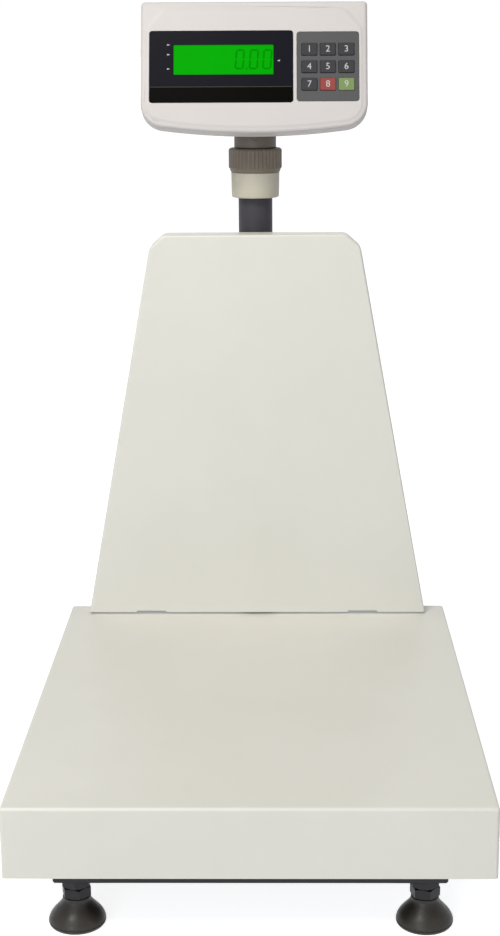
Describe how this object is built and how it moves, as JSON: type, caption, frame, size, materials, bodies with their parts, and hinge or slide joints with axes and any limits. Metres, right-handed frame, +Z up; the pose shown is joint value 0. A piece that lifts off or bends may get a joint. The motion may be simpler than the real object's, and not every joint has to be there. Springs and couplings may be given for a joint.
{
  "type": "platform scale",
  "caption": "Bench platform scale: folded steel platter on a load cell frame with levelling feet, a tapered back shield and a tilting keypad indicator on a round column.",
  "frame": {"origin": "on the floor under the centre of the scale's overall box", "axes": "+Z up, -Y towards the user, +X to the user's right"},
  "size_m": [0.4, 0.5608, 0.7493],
  "materials": {
    "cream_paint": "satin cream powder coat",
    "frame_paint": "semi-gloss black paint",
    "zinc_steel": "bright zinc plate",
    "dark_steel": "black oxide",
    "cell_aluminium": "milled",
    "black_rubber": "moulded, matt",
    "column_paint": "satin dark grey paint",
    "beige_plastic": "fine texture",
    "neck_plastic": "fine texture",
    "shell_plastic": "fine texture",
    "display_black": "gloss overlay",
    "lcd_green": "lit green",
    "keypad_grey": "matt overlay",
    "key_grey": "matt",
    "key_red": "matt",
    "key_green": "matt",
    "pcb_green": "solder resist",
    "battery_black": "moulded case",
    "switch_black": "moulded"
  },
  "bodies": {
    "base": {"base_frame": "frame_paint", "column_bracket": "frame_paint", "bracket_bolt_left": "zinc_steel", "bracket_bolt_right": "zinc_steel", "load_cell": "cell_aluminium", "cell_spacer_lower": "zinc_steel", "column": "column_paint", "column_bolt": "zinc_steel", "column_socket": "beige_plastic", "shield": "cream_paint", "shield_clamp_lower": "zinc_steel", "shield_clamp_upper": "zinc_steel", "shield_bolt_lower": "zinc_steel", "shield_bolt_upper": "zinc_steel", "foot_nut_fl": "dark_steel", "foot_nut_fr": "dark_steel", "foot_nut_rl": "dark_steel", "foot_nut_rr": "dark_steel", "overload_stop_fl": "zinc_steel", "overload_stop_fr": "zinc_steel", "overload_stop_rl": "zinc_steel", "overload_stop_rr": "zinc_steel"},
    "weigh_platform": {"upper_frame": "frame_paint", "cell_spacer_upper": "zinc_steel", "platter": "cream_paint", "platter_pad_fl": "black_rubber", "platter_pad_fr": "black_rubber", "platter_pad_rl": "black_rubber", "platter_pad_rr": "black_rubber"},
    "foot_fl": {"foot_pad_fl": "black_rubber", "foot_stud_fl": "dark_steel"},
    "foot_fr": {"foot_pad_fr": "black_rubber", "foot_stud_fr": "dark_steel"},
    "foot_rl": {"foot_pad_rl": "black_rubber", "foot_stud_rl": "dark_steel"},
    "foot_rr": {"foot_pad_rr": "black_rubber", "foot_stud_rr": "dark_steel"},
    "collar": {"locking_collar": "beige_plastic"},
    "neck": {"swivel_neck": "neck_plastic", "tilt_pin": "zinc_steel"},
    "head": {"head_front_shell": "shell_plastic", "head_rear_shell": "shell_plastic", "display_window": "display_black", "lcd_module": "lcd_green", "keypad_panel": "keypad_grey", "keypad_board": "pcb_green", "main_board": "pcb_green", "battery": "battery_black", "power_switch_frame": "switch_black", "charger_socket": "switch_black"},
    "rocker": {"power_rocker": "switch_black"},
    "key_1": {"key_1": "key_grey"},
    "key_2": {"key_2": "key_grey"},
    "key_3": {"key_3": "key_grey"},
    "key_4": {"key_4": "key_grey"},
    "key_5": {"key_5": "key_grey"},
    "key_6": {"key_6": "key_grey"},
    "key_7": {"key_7": "key_grey"},
    "key_8": {"key_8": "key_red"},
    "key_9": {"key_9": "key_green"}
  },
  "joints": [
    {"name": "platter_slide", "type": "slide", "parent": "base", "child": "weigh_platform", "axis": [0, 0, 1], "range_m": [-0.0008, 0], "stiffness_N_per_m": 2000000, "deforming": ["load_cell"]},
    {"name": "foot_slide_fl", "type": "slide", "parent": "base", "child": "foot_fl", "axis": [0, 0, 1], "range_m": [-0.012, 0]},
    {"name": "foot_slide_fr", "type": "slide", "parent": "base", "child": "foot_fr", "axis": [0, 0, 1], "range_m": [-0.012, 0]},
    {"name": "foot_slide_rl", "type": "slide", "parent": "base", "child": "foot_rl", "axis": [0, 0, 1], "range_m": [-0.012, 0]},
    {"name": "foot_slide_rr", "type": "slide", "parent": "base", "child": "foot_rr", "axis": [0, 0, 1], "range_m": [-0.012, 0]},
    {"name": "collar_turn", "type": "hinge", "parent": "base", "child": "collar", "pos_m": [0, 0.24463, 0.59], "axis": [0, 0, 1], "range_deg": [0, 270]},
    {"name": "neck_swivel", "type": "hinge", "parent": "base", "child": "neck", "pos_m": [0, 0.24463, 0.6], "axis": [0, 0, 1], "range_deg": [-160, 160]},
    {"name": "head_tilt", "type": "hinge", "parent": "neck", "child": "head", "pos_m": [0, 0.24463, 0.6351], "axis": [1, 0, 0], "range_deg": [-25, 15]},
    {"name": "power_rocker_turn", "type": "hinge", "parent": "head", "child": "rocker", "pos_m": [0.06, 0.2657, 0.65936], "axis": [1, 0, 0], "range_deg": [-18, 0]},
    {"name": "key_1_press", "type": "slide", "parent": "head", "child": "key_1", "axis": [0, 0.9397, -0.342], "range_m": [0, 0.0006], "stiffness_N_per_m": 2500},
    {"name": "key_2_press", "type": "slide", "parent": "head", "child": "key_2", "axis": [0, 0.9397, -0.342], "range_m": [0, 0.0006], "stiffness_N_per_m": 2500},
    {"name": "key_3_press", "type": "slide", "parent": "head", "child": "key_3", "axis": [0, 0.9397, -0.342], "range_m": [0, 0.0006], "stiffness_N_per_m": 2500},
    {"name": "key_4_press", "type": "slide", "parent": "head", "child": "key_4", "axis": [0, 0.9397, -0.342], "range_m": [0, 0.0006], "stiffness_N_per_m": 2500},
    {"name": "key_5_press", "type": "slide", "parent": "head", "child": "key_5", "axis": [0, 0.9397, -0.342], "range_m": [0, 0.0006], "stiffness_N_per_m": 2500},
    {"name": "key_6_press", "type": "slide", "parent": "head", "child": "key_6", "axis": [0, 0.9397, -0.342], "range_m": [0, 0.0006], "stiffness_N_per_m": 2500},
    {"name": "key_7_press", "type": "slide", "parent": "head", "child": "key_7", "axis": [0, 0.9397, -0.342], "range_m": [0, 0.0006], "stiffness_N_per_m": 2500},
    {"name": "key_8_press", "type": "slide", "parent": "head", "child": "key_8", "axis": [0, 0.9397, -0.342], "range_m": [0, 0.0006], "stiffness_N_per_m": 2500},
    {"name": "key_9_press", "type": "slide", "parent": "head", "child": "key_9", "axis": [0, 0.9397, -0.342], "range_m": [0, 0.0006], "stiffness_N_per_m": 2500}
  ]
}
